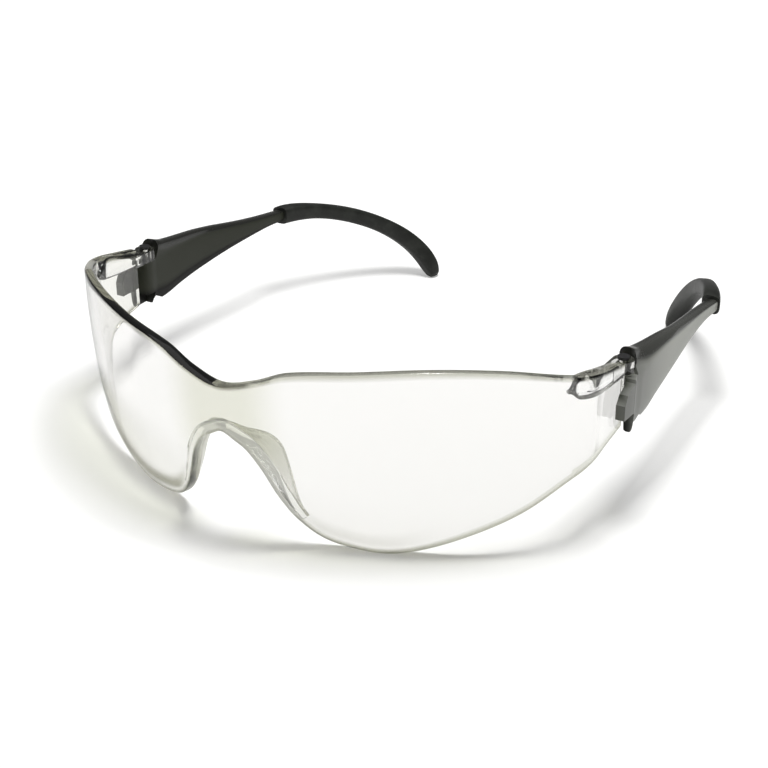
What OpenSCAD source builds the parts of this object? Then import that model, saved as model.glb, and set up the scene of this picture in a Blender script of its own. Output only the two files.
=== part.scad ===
// Frameless wraparound safety glasses with one moulded clear lens, two folding temples and
// soft sleeves. Left is the wearer's left, +X. The front faces -Y and the glasses stand on
// the two lens lobes and the two sleeve tips at Z = 0.

/* [Lens] */
// Width across the outer faces of the lens wings
front_w = 137.2; // [130:0.1:146]
// Height of each lens lobe
lens_h = 47.2; // [44:0.1:52]
// Wall of the lens
lens_t = 2.2; // [1.8:0.1:2.6]
// Extra wall in front of the bridge
bridge_more = 0.8; // [0:0.1:1.2]
// Half angle of the wrap, before the corners turn back into the wings
wrap_a = 56; // [50:1:60]
// Radius of the corner between lobe and wing
corner_r = 13.5; // [10:0.5:18]
// Toe angle of the wings against the straight-back direction
wing_toe = 2; // [1:0.5:4]
// How far the brow line dips at the bridge
brow_dip = 7.6; // [5:0.1:10]
// Lean of the lens, top edge forward, as rise over run
lean = 0.22; // [0.1:0.01:0.3]
// Radius of the vertical curve of the lens
dome_r = 105; // [90:1:140]

/* [Nosepiece] */
// Width of the nose arch at half its height
nose_w = 23.2; // [20:0.1:26]
// Height of the bridge between nose arch and brow line
bridge_h = 11.4; // [9:0.1:13]
// Wall of the nose flange
pad_t = 1.8; // [1.4:0.1:2.2]
// Depth of the nose flange at the pads
pad_depth = 4.6; // [4:0.1:8]
// Outward splay of the pads per unit of depth
pad_splay = 0.3; // [0.1:0.05:0.5]

/* [Hinges] */
// Distance from the lens front to the hinge pins
hinge_back = 56.5; // [54:0.1:60]
// Height of the underside of the lens tongue
tongue_z = 35.2; // [34:0.1:36.4]
// Thickness of the lens tongue
tongue_h = 2.8; // [2.4:0.1:3.2]
// Radius of the tongue's round end
knuckle_r = 2.5; // [2.2:0.1:2.8]
// Inset of the pin from the outer face of the wing
pin_inset = 1.6; // [1.4:0.1:2.2]
// Radius of the pin
pin_r = 0.8; // [0.7:0.05:1]
// Radius of the pin's head
head_r = 1.35; // [1.2:0.05:1.5]
// Height of the pin's head
head_h = 0.7; // [0.5:0.1:0.8]
// Gap under the tongue and under the pin's head
slot_gap = 0.15; // [0.1:0.05:0.3]
// Radial clearance of the pin in the tongue
pin_clear = 0.05; // [0.02:0.01:0.1]

/* [Temples] */
// Length of the rigid arm behind the pin
arm_l = 60; // [56:0.5:66]
// Height of the arm at the hinge
arm_h = 18.2; // [17:0.1:20]
// Height of the arm where it enters the sleeve
neck_h = 3.1; // [2.8:0.1:4.4]
// Thickness of the arm at the hinge
arm_t = 5.2; // [4.8:0.1:5.8]
// Thickness of the front blade that overlaps the wing
blade_t = 2.3; // [2:0.1:2.8]
// Gap between the blade and the wing
blade_gap = 0.6; // [0.5:0.1:1]
// Thickness of the tab under the hinge
tab_t = 2.4; // [1.6:0.1:3]
// Where the crease runs on the inner face, as a share of the half height
crease = 0.58; // [0.4:0.02:0.8]
// How far the blade reaches in front of the pin
blade_reach = 8.4; // [6.4:0.1:9]

/* [Sleeves] */
// How far the sleeve tip lies behind the pin
tip_back = 105.3; // [98:0.1:108]
// How far the sleeve tip lies inboard of the pin
tip_in = 27.8; // [20:0.1:30]
// Height of the sleeve's collar
sleeve_h = 4.9; // [4.6:0.1:6.4]
// Width of the sleeve's collar
sleeve_w = 4.6; // [4.2:0.1:5.6]
// Radius of the arm's round tang inside the sleeve
tang_r = 1.2; // [1:0.1:1.4]
// Length of the tang
tang_l = 5; // [3:0.5:5.5]
// Clearance of the tang in the sleeve
tang_clear = 0.05; // [0.02:0.01:0.1]

/* [Hidden] */
$fn = 48;

// Plan of the lens: wrap arc, corner arc, then the wing almost straight back
wing_a = 90 - wing_toe;
wing_x = front_w / 2;
wrap_r = (wing_x - corner_r * (sin(wing_a) - sin(wrap_a))) / sin(wrap_a);
s_wrap = wrap_r * wrap_a * PI / 180;
s_corner = s_wrap + corner_r * (wing_a - wrap_a) * PI / 180;
y_wrap = wrap_r * (1 - cos(wrap_a));
y_corner = y_wrap + corner_r * (cos(wrap_a) - cos(wing_a));
wing_clear = 3.7;
s_end = s_corner + (hinge_back - wing_clear - y_corner) / sin(wing_a);

// Heights along the lens
lean_z = 20;
dip_z = lens_h - brow_dip;
arch_z = dip_z - bridge_h;
tongue_top = tongue_z + tongue_h;
wing_top = tongue_top + 0.9;
wing_low = 23.3;
nose_s = nose_w / 2;

// Upper edge: distance along the plan against height
brow = [
    [-0.69 * nose_s, lens_h - 0.74 * brow_dip], [0, dip_z],
    [0.69 * nose_s, lens_h - 0.74 * brow_dip], [1.38 * nose_s, lens_h - 0.33 * brow_dip],
    [0.38 * s_wrap, lens_h - 0.12 * brow_dip], [0.59 * s_wrap, lens_h],
    [0.79 * s_wrap, lens_h - 1.3], [s_wrap, (lens_h + wing_top) / 2 - 0.7],
    [s_end, wing_top]
];
// Lower edge: nose arch, lobe bottom, then the sweep up to the wing
lobe_s = 0.41 * s_wrap;
sweep = s_end - lobe_s;
rim = [
    [-0.26 * nose_s, 0.95 * arch_z], [0, arch_z], [0.26 * nose_s, 0.95 * arch_z],
    [0.52 * nose_s, 0.875 * arch_z], [0.78 * nose_s, 0.71 * arch_z], [nose_s, 0.49 * arch_z],
    [1.26 * nose_s, 0.29 * arch_z], [1.65 * nose_s, 0.12 * arch_z],
    [lobe_s - 0.12 * sweep, 0.05 * wing_low], [lobe_s, 0],
    [lobe_s + 0.12 * sweep, 0.05 * wing_low], [lobe_s + 0.32 * sweep, 0.24 * wing_low],
    [lobe_s + 0.52 * sweep, 0.47 * wing_low], [lobe_s + 0.71 * sweep, 0.76 * wing_low],
    [lobe_s + 0.84 * sweep, 0.9 * wing_low], [s_end, wing_low]
];
// Depth of the nose flange along the arch
pad_depths = [
    [0, 0.2 * pad_depth], [0.2 * nose_s, 0.5 * pad_depth], [0.42 * nose_s, 0.95 * pad_depth],
    [0.62 * nose_s, pad_depth], [0.85 * nose_s, 0.66 * pad_depth],
    [1.1 * nose_s, 0.24 * pad_depth], [1.3 * nose_s, 0.06 * pad_depth]
];
// Share of the extra bridge wall along the lens
bridge_line = [[0, 1], [0.9 * nose_s, 1], [1.7 * nose_s, 0.4], [2.5 * nose_s, 0], [s_end, 0]];

// Hinge
pin_x = wing_x - pin_inset;
pin_y = hinge_back;
seat_z = tongue_z - slot_gap;
head_z = tongue_top + slot_gap;
swing_r = knuckle_r + 0.4;
pin_seat = 4.6;
pin_low = tongue_z - pin_seat;
rise = 2.35;
arm_top = tongue_top + rise;
arm_clear = 0.02;
seat_gap = 0.05;
// Overshoot of the cutting shapes, and a level below the part
over = 20;
under = -5;

// Temple: the arm runs back to the sleeve and falls as it goes
arm_drop = 11.15;
arm_end = [pin_x - 1, pin_y + arm_l, arm_top - arm_drop];
arm_low = arm_top - arm_h;
blade_x = wing_x + blade_gap + blade_t / 2;
tab_x = blade_x + blade_t / 2 - tab_t - pin_x;
tab_rise = 3.6;
// Step under the blade: its height, and its distance in front of the pin
step_h = 5;
step_y = 2.7;
top_line = [
    [-10, arm_top], [1, arm_top - 0.1], [7, arm_top - 1.9], [0.37 * arm_l, arm_top - 3.9],
    [0.7 * arm_l, arm_top - 7.2], [arm_l, arm_end[2] + neck_h / 2]
];
low_line = [
    [-10, arm_low - 0.2], [2, arm_low], [8, arm_low + 0.2], [0.25 * arm_l, arm_low + 1.6],
    [0.4 * arm_l, arm_low + 3], [0.62 * arm_l, arm_low + 4.7],
    [0.85 * arm_l, arm_end[2] - neck_h / 2 + 0.2], [arm_l, arm_end[2] - neck_h / 2]
];
thick_line = [
    [-10, blade_t], [-3.4, blade_t], [-1.2, arm_t], [3, arm_t], [0.4 * arm_l, 3.8], [arm_l, 3.2]
];
flare_line = [
    [-10, blade_x - pin_x], [-3.2, blade_x - pin_x], [-1.2, 1.3], [3, 1.3], [10, 1.4],
    [0.4 * arm_l, 1.2], [0.8 * arm_l, 0], [arm_l, 0]
];

// Sleeve: one smooth bend back, inward and down
tip = [pin_x - tip_in, pin_y + tip_back, 0.0787 * sleeve_h];
hook_l = tip_back - arm_l;
sleeve_path = [
    arm_end + [0.2, -1, -0.1],
    arm_end + [-0.167 * tip_in, 0.308 * hook_l, 0.036 * hook_l],
    tip + [0.24 * tip_in, 0.009 * hook_l, 0.59 * arm_end[2]],
    tip
];
sleeve_sizes = [
    [0, 0.9], [0.015, 1], [0.09, 1.02], [0.26, 0.88], [0.5, 0.94], [0.78, 1.08], [0.92, 1.04],
    [0.98, 0.76], [1, 0.42]
];

// Centre of the footprint
y_front = -lean * (dip_z - lean_z) + pow(dip_z - lean_z, 2) / (2 * dome_r) - bridge_more;
y_back = tip[1] + 0.478 * sleeve_h;
mid_y = (y_front + y_back) / 2;

// Smooth curve through knots, each a position and a value
function knot_slope(k, i) =
    let (a = max(i - 1, 0), b = min(i + 1, len(k) - 1))
    (k[b][1] - k[a][1]) / (k[b][0] - k[a][0]);
function hermite(k, i, t) =
    let (d = k[i + 1][0] - k[i][0], u = (t - k[i][0]) / d)
    k[i][1] * (2 * u * u * u - 3 * u * u + 1) + k[i + 1][1] * (3 * u * u - 2 * u * u * u)
    + d * knot_slope(k, i) * (u * u * u - 2 * u * u + u)
    + d * knot_slope(k, i + 1) * (u * u * u - u * u);
function curve_at(k, t, i = 0) =
    (t > k[i + 1][0] && i < len(k) - 2) ? curve_at(k, t, i + 1) : hermite(k, i, t);

// Plan heading, and a point of the lens at a depth behind the front face
function heading(s) =
    s < s_wrap ? s / wrap_r * 180 / PI
    : s < s_corner ? wrap_a + (s - s_wrap) / corner_r * 180 / PI
    : wing_a;
function plan(s) =
    s < s_wrap ? [wrap_r * sin(heading(s)), wrap_r * (1 - cos(heading(s)))]
    : s < s_corner ? [
        wrap_r * sin(wrap_a) + corner_r * (sin(heading(s)) - sin(wrap_a)),
        y_wrap + corner_r * (cos(wrap_a) - cos(heading(s)))
    ]
    : [
        wing_x + (s - s_corner) * cos(wing_a),
        y_corner + (s - s_corner) * sin(wing_a)
    ];
function lean_at(z) = -lean * (z - lean_z) + (z - lean_z) * (z - lean_z) / (2 * dome_r);
function lens_point(s, z, depth) =
    let (side = s < 0 ? -1 : 1, p = plan(abs(s)), a = heading(abs(s)))
    [side * (p[0] - depth * sin(a)), p[1] + depth * cos(a) + lean_at(z) * cos(a), z];

// Skin of a closed solid made of rings of n points. Each end is closed by a zip of triangles
// between the point k and its opposite, n - 1 - k.
function end_cap(n, first, flip) =
    [for (k = [0 : floor(n / 2) - 1]) each
        let (o = n - 1 - k, quad = [[k, k + 1, o], [k + 1, o - 1, o]])
        [for (tri = quad) if (tri[0] != tri[1] && tri[1] != tri[2] && tri[0] != tri[2])
            flip
                ? [first + tri[2], first + tri[1], first + tri[0]]
                : [first + tri[0], first + tri[1], first + tri[2]]]];
function ring_faces(rings, n) = concat(
    end_cap(n, 0, true),
    [for (i = [0 : rings - 2]) for (k = [0 : n - 1]) each
        let (a = i * n, b = a + n, m = (k + 1) % n)
        [[a + k, b + m, b + k], [a + k, a + m, b + m]]],
    end_cap(n, (rings - 1) * n, false)
);
module skin(rings) {
    n = len(rings[0]);
    points = [for (r = rings) for (p = r) p];
    polyhedron(points = points, faces = ring_faces(len(rings), n), convexity = 6);
}

// Lens wall with both lobes and both wings
wall_rows = 6;
wall_steps = 44;
function wall_station(i) =
    let (t = abs(i) / wall_steps)
    (i < 0 ? -1 : 1) * s_end * (0.35 * t + 0.65 * t * t);
function wall_ring(s) =
    let (
        low = curve_at(rim, abs(s)), high = curve_at(brow, abs(s)),
        front = -bridge_more * curve_at(bridge_line, abs(s))
    )
    concat(
        [for (j = [0 : wall_rows]) lens_point(s, low + (high - low) * j / wall_rows, front)],
        [for (j = [wall_rows : -1 : 0]) lens_point(s, low + (high - low) * j / wall_rows, lens_t)]
    );
module lens_wall() {
    skin([for (i = [-wall_steps : wall_steps]) wall_ring(wall_station(i))]);
}

// Nose flange, square to the edge of the arch and splayed outward at the pads
pad_steps = 16;
pad_root = 0.2;
function pad_ring(s) =
    let (
        u = abs(s),
        side = s < 0 ? -1 : 1,
        m = (curve_at(rim, u + 0.1) - curve_at(rim, u - 0.1)) / 0.2,
        q = sqrt(1 + m * m),
        d = curve_at(pad_depths, u),
        out = pad_splay * side * min(u / (0.5 * nose_s), 1),
        edge = function (h) [s - side * m / q * h, curve_at(rim, u) + h / q],
        root = function (h, depth) lens_point(edge(h)[0], edge(h)[1], depth),
        back = function (h, more) root(h, lens_t) + (d + more) * [out, 1, 0]
    )
    [
        root(pad_root + pad_t, lens_t / 2), back(pad_root + pad_t, 0),
        back(pad_root + pad_t / 2, 0.5), back(pad_root, 0), root(pad_root, lens_t / 2)
    ];
module nose_flange() {
    s_pad = pad_depths[len(pad_depths) - 1][0];
    skin([for (i = [-pad_steps : pad_steps]) pad_ring(s_pad * i / pad_steps)]);
}

// Hinge lug on the wing and the flat tongue that carries the knuckle
lug_in = 4.2;
lug_front = y_wrap - 1;
module lug() {
    lug_steps = 8;
    s_front = s_wrap - 2;
    band = [for (i = [0 : lug_steps]) s_front + (s_end - s_front) * i / lug_steps];
    intersection() {
        linear_extrude(height = 2 * lens_h)
            polygon(concat(
                [for (s = band) [lens_point(s, tongue_z, 0.5)[0], lens_point(s, tongue_z, 0.5)[1]]],
                [for (i = [lug_steps : -1 : 0])
                    let (p = lens_point(band[i], tongue_z, lug_in)) [p[0], p[1]]]
            ));
        translate([wing_x + over, 0, 0])
            rotate([90, 0, -90])
                linear_extrude(height = 2 * over)
                    polygon([
                        [-lug_front, tongue_z + 3.4], [-lug_front - 3, tongue_top + 3.6],
                        [-lug_front - 7, tongue_top + 3.3], [-pin_y + 6, tongue_top + 1.2],
                        [-pin_y + 3, tongue_top], [-pin_y + 3, tongue_z],
                        [-pin_y + 9, tongue_z], [-lug_front - 2, tongue_z + 1.4]
                    ]);
    }
}
module tongue() {
    translate([pin_x, pin_y, tongue_z])
        cylinder(r = knuckle_r, h = tongue_h);
    translate([pin_x - knuckle_r, pin_y - wing_clear - 3, tongue_z])
        cube([knuckle_r + pin_inset - 0.4, wing_clear + 3, tongue_h]);
}
module lens_shield() {
    color([0.86, 0.9, 0.88, 0.45])
        translate([0, -mid_y, 0])
            difference() {
                union() {
                    lens_wall();
                    nose_flange();
                    for (side = [0, 1])
                        mirror([side, 0, 0]) {
                            lug();
                            tongue();
                        }
                }
                for (side = [-1, 1])
                    translate([side * pin_x, pin_y, tongue_z - 1])
                        cylinder(r = pin_r + pin_clear, h = tongue_h + 2);
            }
}

// Headed hinge pin
module hinge_pin() {
    translate([pin_x, pin_y, pin_low])
        cylinder(r = pin_r, h = head_z + head_h - pin_low);
    translate([pin_x, pin_y, head_z])
        cylinder(r = head_r, h = head_h);
}

// Rigid arm: a leaning blade with rounded faces, stepped down to pass under the tongue
section_n = 24;
crease_cut = 1.4;
shoulder = 0.8;
arm_stations = concat(
    [for (f = [1, 0.9, 0.75, 0.58]) -f * blade_reach],
    [-3.6, -2.9, -2.4, -1.8, -1.2, 0, 1.5, 3, 5, 7],
    [for (f = [0.18, 0.25, 0.32, 0.4, 0.48, 0.56, 0.64, 0.72, 0.8, 0.88, 0.95, 1]) f * arm_l]
);
squareness = 0.55;
function rounded(c) = sign(c) * pow(abs(c), squareness);
// Creases of the inner face: a wide one along the bottom and a narrow one along the top
function creased(across, up) = max(
    across,
    crease_cut * max(-up - crease, 0) - 1,
    max(up - shoulder, 0) - 1
);
function arm_ring(v) =
    let (
        high = curve_at(top_line, v), low = curve_at(low_line, v),
        thick = curve_at(thick_line, v), flare = curve_at(flare_line, v),
        drift = (arm_end[0] - pin_x) * max(v, 0) / arm_l
    )
    [for (k = [0 : section_n - 1])
        let (
            a = 360 * (k + 0.5) / section_n - 90,
            up = rounded(sin(a)),
            across = creased(rounded(cos(a)), up),
            z = (high + low) / 2 + (high - low) / 2 * up,
            down = min(max((head_z - z) / (head_z - seat_z), 0), 1)
        )
        [pin_x + drift + flare * down + thick / 2 * across, pin_y + v, z]
    ];
module side_cut(points) {
    translate([wing_x + over, 0, 0])
        rotate([90, 0, -90])
            linear_extrude(height = 2 * over)
                polygon([for (p = points) [-pin_y - p[0], p[1]]]);
}
function bend_start() = sleeve_path[1] - sleeve_path[0];
module tang(r, l) {
    d = bend_start();
    translate(arm_end)
        rotate([0, acos(d[2] / norm(d)), atan2(d[1], d[0])])
            translate([0, 0, -2])
                cylinder(r = r, h = l + 2);
}
module temple_arm() {
    difference() {
        union() {
            skin([for (v = arm_stations) arm_ring(v)]);
            tang(tang_r, tang_l);
        }
        // Seat for the tongue, with the room that it needs to swing
        translate([pin_x, pin_y, seat_z])
            cylinder(r = swing_r, h = over);
        translate([pin_x - over, pin_y - over, seat_z])
            cube([2 * over, over, over]);
        translate([pin_x - over, pin_y - over, seat_z])
            cube([over, over + swing_r - 0.05, over]);
        // Sloping top of the blade
        side_cut([
            [-over, seat_z + 1], [0.5 - swing_r, seat_z + 1], [-swing_r - 0.3, seat_z - 0.7],
            [-0.62 * blade_reach, seat_z - 1], [-0.86 * blade_reach, seat_z - 2],
            [-0.98 * blade_reach, seat_z - 4], [-blade_reach - 1, seat_z - 5],
            [-over, seat_z - 5]
        ]);
        // Step below the blade, in front of the tab
        side_cut([
            [-over, arm_low + step_h + 0.6], [-step_y - 0.7, arm_low + step_h],
            [-step_y - 0.2, arm_low + step_h - 0.4], [-step_y, under], [-over, under]
        ]);
        // Relief behind the tab and inboard of it
        side_cut([
            [1.6, under], [1.9, arm_low + 1.4], [2.6, arm_low + 2], [6.5, arm_low], [6.5, under]
        ]);
        translate([pin_x - over, pin_y - over, arm_low + tab_rise - over])
            cube([over + tab_x, over + 1.8, over]);
        // Bore for the pin
        translate([pin_x, pin_y, pin_low - 0.1])
            cylinder(r = pin_r + arm_clear, h = over);
    }
}

// Soft sleeve: a swept tube with a socket for the tang
sleeve_steps = 30;
function bezier(p, t) =
    pow(1 - t, 3) * p[0] + 3 * pow(1 - t, 2) * t * p[1] + 3 * (1 - t) * t * t * p[2] + t * t * t * p[3];
function bezier_dir(p, t) =
    3 * pow(1 - t, 2) * (p[1] - p[0]) + 6 * (1 - t) * t * (p[2] - p[1]) + 3 * t * t * (p[3] - p[2]);
function unit(v) = v / norm(v);
function sleeve_ring(t) =
    let (
        c = bezier(sleeve_path, t), d = unit(bezier_dir(sleeve_path, t)),
        ref = [0.94, 0.34, 0],
        across = unit(ref - (ref * d) * d), up = cross(across, d),
        size = curve_at(sleeve_sizes, t)
    )
    [for (k = [0 : section_n - 1])
        let (a = 360 * (k + 0.5) / section_n - 90)
        c + size * (sleeve_w / 2 * rounded(cos(a)) * across + sleeve_h / 2 * rounded(sin(a)) * up)
    ];
// Steps that crowd at both ends of the sleeve
end_pace = 0.1;
function eased(t) =
    t <= 0.5 ? 2 * (1 - end_pace) * t * t + end_pace * t : 1 - eased(1 - t);
module temple_sleeve() {
    difference() {
        skin([for (i = [0 : sleeve_steps]) sleeve_ring(eased(i / sleeve_steps))]);
        tang(tang_r + tang_clear, tang_l + 0.1);
        // Square front end, up against the arm
        translate(arm_end + [-over, seat_gap - over, -over])
            cube([2 * over, over, 2 * over]);
    }
}

module on_side(side) {
    translate([0, -mid_y, 0])
        mirror([side, 0, 0])
            children();
}
module left_hinge_pin() { color([0.2, 0.2, 0.2]) on_side(0) hinge_pin(); }
module right_hinge_pin() { color([0.2, 0.2, 0.2]) on_side(1) hinge_pin(); }
module left_temple_arm() { color([0.24, 0.25, 0.22]) on_side(0) temple_arm(); }
module right_temple_arm() { color([0.24, 0.25, 0.22]) on_side(1) temple_arm(); }
module left_temple_sleeve() { color([0.12, 0.13, 0.12]) on_side(0) temple_sleeve(); }
module right_temple_sleeve() { color([0.12, 0.13, 0.12]) on_side(1) temple_sleeve(); }

lens_shield();
left_hinge_pin();
right_hinge_pin();
left_temple_arm();
right_temple_arm();
left_temple_sleeve();
right_temple_sleeve();
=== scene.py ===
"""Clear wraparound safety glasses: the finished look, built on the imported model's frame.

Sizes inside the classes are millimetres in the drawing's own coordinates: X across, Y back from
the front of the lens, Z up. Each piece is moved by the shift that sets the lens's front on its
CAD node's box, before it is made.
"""

import logging
import math
from collections.abc import Callable, Sequence
from dataclasses import dataclass, field
from enum import Enum

import bmesh
import bpy
import numpy as np
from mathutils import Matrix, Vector

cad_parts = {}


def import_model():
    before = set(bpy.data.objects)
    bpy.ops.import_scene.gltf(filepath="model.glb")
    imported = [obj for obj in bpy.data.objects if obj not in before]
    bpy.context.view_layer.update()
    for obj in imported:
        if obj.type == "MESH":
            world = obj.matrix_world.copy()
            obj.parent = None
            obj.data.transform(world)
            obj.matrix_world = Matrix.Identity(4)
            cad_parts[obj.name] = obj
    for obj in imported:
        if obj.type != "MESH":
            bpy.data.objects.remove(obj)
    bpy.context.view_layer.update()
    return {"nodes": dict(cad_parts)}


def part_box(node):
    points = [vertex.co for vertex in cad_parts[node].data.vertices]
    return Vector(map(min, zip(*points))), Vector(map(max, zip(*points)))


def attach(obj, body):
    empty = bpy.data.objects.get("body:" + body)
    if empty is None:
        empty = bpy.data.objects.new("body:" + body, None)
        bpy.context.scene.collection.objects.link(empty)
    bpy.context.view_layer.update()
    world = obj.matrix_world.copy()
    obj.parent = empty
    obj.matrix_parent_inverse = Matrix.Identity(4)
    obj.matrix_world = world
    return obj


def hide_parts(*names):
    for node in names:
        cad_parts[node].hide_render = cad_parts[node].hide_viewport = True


LOG = logging.getLogger("safety_glasses")
MM = 0.001
# The point of the table under the key lamp, and the lamp's height, in metres
KEY_FOOT = (0.075, -0.058)
KEY_HEIGHT = 0.35

Point = tuple[float, float, float]
Ring = list[Point]
Colour = tuple[float, float, float, float]


# Shader tools


class Wire:
    """A shader socket that takes part in Python arithmetic."""

    def __init__(self, graph: "Graph", socket: bpy.types.NodeSocket | None) -> None:
        """Wraps an output socket of a graph, or None for a node without one."""
        self.graph = graph
        self.socket = socket

    def _math(self, operation: str, *others: "Wire | float") -> "Wire":
        """Adds one Math node on this value and the others, in order."""
        values = dict(enumerate((self, *others)))
        return self.graph.node("ShaderNodeMath", {"operation": operation}, values)

    def __add__(self, other: "Wire | float") -> "Wire":
        """This value plus another."""
        return self._math("ADD", other)

    def __radd__(self, other: float) -> "Wire":
        """A number plus this value."""
        return self + other

    def __sub__(self, other: "Wire | float") -> "Wire":
        """This value less another."""
        return self._math("SUBTRACT", other)

    def __rsub__(self, other: float) -> "Wire":
        """A number less this value."""
        return self * -1.0 + other

    def __mul__(self, other: "Wire | float") -> "Wire":
        """This value times another."""
        return self._math("MULTIPLY", other)

    def __rmul__(self, other: float) -> "Wire":
        """A number times this value."""
        return self * other

    def __truediv__(self, other: "Wire | float") -> "Wire":
        """This value over another."""
        return self._math("DIVIDE", other)

    def __rtruediv__(self, other: float) -> "Wire":
        """A number over this value."""
        return self.graph.node("ShaderNodeMath", {"operation": "DIVIDE"}, {0: other, 1: self})

    def largest(self, other: "Wire | float") -> "Wire":
        """The larger of this value and another."""
        return self._math("MAXIMUM", other)

    def step(self, low: float, high: float) -> "Wire":
        """A smooth step of this value.

        Args:
            low: Where the step is 0.
            high: Where the step is 1.

        Returns:
            The step, from 0 to 1.
        """
        settings = {"interpolation_type": "SMOOTHSTEP"}
        values = {"Value": self, "From Min": low, "From Max": high}
        return self.graph.node("ShaderNodeMapRange", settings, values)


class Graph:
    """A node tree that is filled from Python expressions."""

    def __init__(self, tree: bpy.types.NodeTree) -> None:
        """Empties the node tree of a material or a world."""
        self.tree = tree
        tree.nodes.clear()

    def node(
        self,
        kind: str,
        settings: dict[str, object] | None = None,
        inputs: dict[str | int, object] | None = None,
        output: str | int = 0,
    ) -> Wire:
        """Adds a node.

        Args:
            kind: The node's type name.
            settings: Its properties, set first.
            inputs: Values or wires for its sockets, by name or number.
            output: The socket to return.

        Returns:
            The chosen output.
        """
        made = self.tree.nodes.new(kind)
        for name, value in (settings or {}).items():
            setattr(made, name, value)
        for key, value in (inputs or {}).items():
            if isinstance(value, Wire):
                self.tree.links.new(value.socket, made.inputs[key])
            else:
                made.inputs[key].default_value = value
        return Wire(self, made.outputs[output] if made.outputs else None)

    def place(self) -> Wire:
        """The surface point in the object's own coordinates."""
        return self.node("ShaderNodeTexCoord", output="Object")

    def attribute(self, name: str) -> Wire:
        """A number stored on the mesh under a name."""
        return self.node("ShaderNodeAttribute", {"attribute_name": name}, output="Fac")

    def ray(self, kind: str) -> Wire:
        """1 on rays of one kind, such as "Camera" or "Shadow", and 0 on the others."""
        return self.node("ShaderNodeLightPath", output=f"Is {kind} Ray")

    def noise(self, size_mm: float, detail: float = 3.0, roughness: float = 0.5) -> Wire:
        """Smooth noise with features of a given size.

        Args:
            size_mm: The size of its largest features.
            detail: How many finer layers it has.
            roughness: How strong the finer layers are.

        Returns:
            A value about 0.5.
        """
        values = {"Vector": self.place(), "Scale": 1 / (size_mm * MM)}
        values |= {"Detail": detail, "Roughness": roughness}
        return self.node("ShaderNodeTexNoise", inputs=values, output="Fac")

    def blend(self, factor: Wire | float, first: Wire | Colour, second: Wire | Colour) -> Wire:
        """Mixes two colours by a factor, the share of the second."""
        values = {0: factor, 6: first, 7: second}
        return self.node("ShaderNodeMix", {"data_type": "RGBA"}, values, 2)

    def bump(self, height: Wire, strength: float, distance_mm: float) -> Wire:
        """A normal bumped by a height, at a strength and a depth for a height of 1."""
        values = {"Height": height, "Strength": strength, "Distance": distance_mm * MM}
        return self.node("ShaderNodeBump", inputs=values, output="Normal")

    def mix_shaders(self, factor: Wire | float, first: Wire, second: Wire) -> Wire:
        """Mixes two shaders by a factor, the share of the second."""
        return self.node("ShaderNodeMixShader", inputs={0: factor, 1: first, 2: second})

    def principled(self, values: dict[str | int, object]) -> Wire:
        """The shader of an ordinary surface, with values or wires for its sockets."""
        return self.node("ShaderNodeBsdfPrincipled", inputs=values)


# Finishes


@dataclass(frozen=True)
class Finish:
    """A material that pieces are dressed in."""

    name: str

    def surface(self, graph: Graph) -> Wire:
        """Builds the shader in the material's empty graph and returns it."""
        raise NotImplementedError

    def material(self) -> bpy.types.Material:
        """Makes the material once, for every piece that wears it.

        Returns:
            The material.
        """
        known = bpy.data.materials.get(self.name)
        if known is not None:
            return known
        made = bpy.data.materials.new(self.name)
        made.use_nodes = True
        graph = Graph(made.node_tree)
        graph.node("ShaderNodeOutputMaterial", inputs={"Surface": self.surface(graph)})
        return made


@dataclass(frozen=True)
class ClearPolycarbonate(Finish):
    """Moulded clear lens, faintly warm, yellow-green where it is thick, with painted shade and light.
    """

    name: str = "clear_polycarbonate"
    clear: Colour = (0.85, 0.844, 0.834, 1.0)
    # thick: the tint where the wall is thick, also used as painted shade on the outer right lobe
    thick: Colour = (0.68, 0.682, 0.60, 1.0)
    # rim: painted shade, the colour the wall takes at its edges and along its lower rim
    rim: Colour = (0.27, 0.265, 0.20, 1.0)
    shade: Colour = (0.75, 0.755, 0.70, 1.0)
    refraction: float = 1.585
    polish: float = 0.004

    def surface(self, graph: Graph) -> Wire:
        """Glass that bends the view, and lets the lamps through to what is behind it.

        Its edges stop the lamps; painted light hands on a share of the light that a real edge pipes.

        Args:
            graph: The material's empty graph.

        Returns:
            The shader.
        """
        # Painted shade: thick also greys the outer right lobe, and edge darkens the edges and lower
        # rim.
        cast, edge = graph.attribute("thick"), graph.attribute("edge")
        colour = graph.blend(cast, self.clear, self.thick)
        flow = graph.noise(22.0, 2.0)
        hairs = graph.noise(0.35, 4.0, 0.7).step(0.66, 0.74)
        glass = graph.principled(
            {
                "Base Color": graph.blend(edge, colour, self.rim),
                "Roughness": self.polish + 0.02 * hairs * flow,
                "IOR": self.refraction,
                "Transmission Weight": 1.0,
                "Normal": graph.bump(flow, 0.3, 0.05),
            }
        )
        clear = graph.node("ShaderNodeBsdfTransparent", inputs={"Color": self.shade})
        # Painted light: camera rays see part of the view behind through the lightened edges.
        lit = graph.ray("Shadow").largest(graph.ray("Diffuse"))
        share = lit * (1 - graph.attribute("block")) + (1 - lit) * graph.attribute("painted_edge_light")
        return graph.mix_shaders(share, glass, clear)


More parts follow.
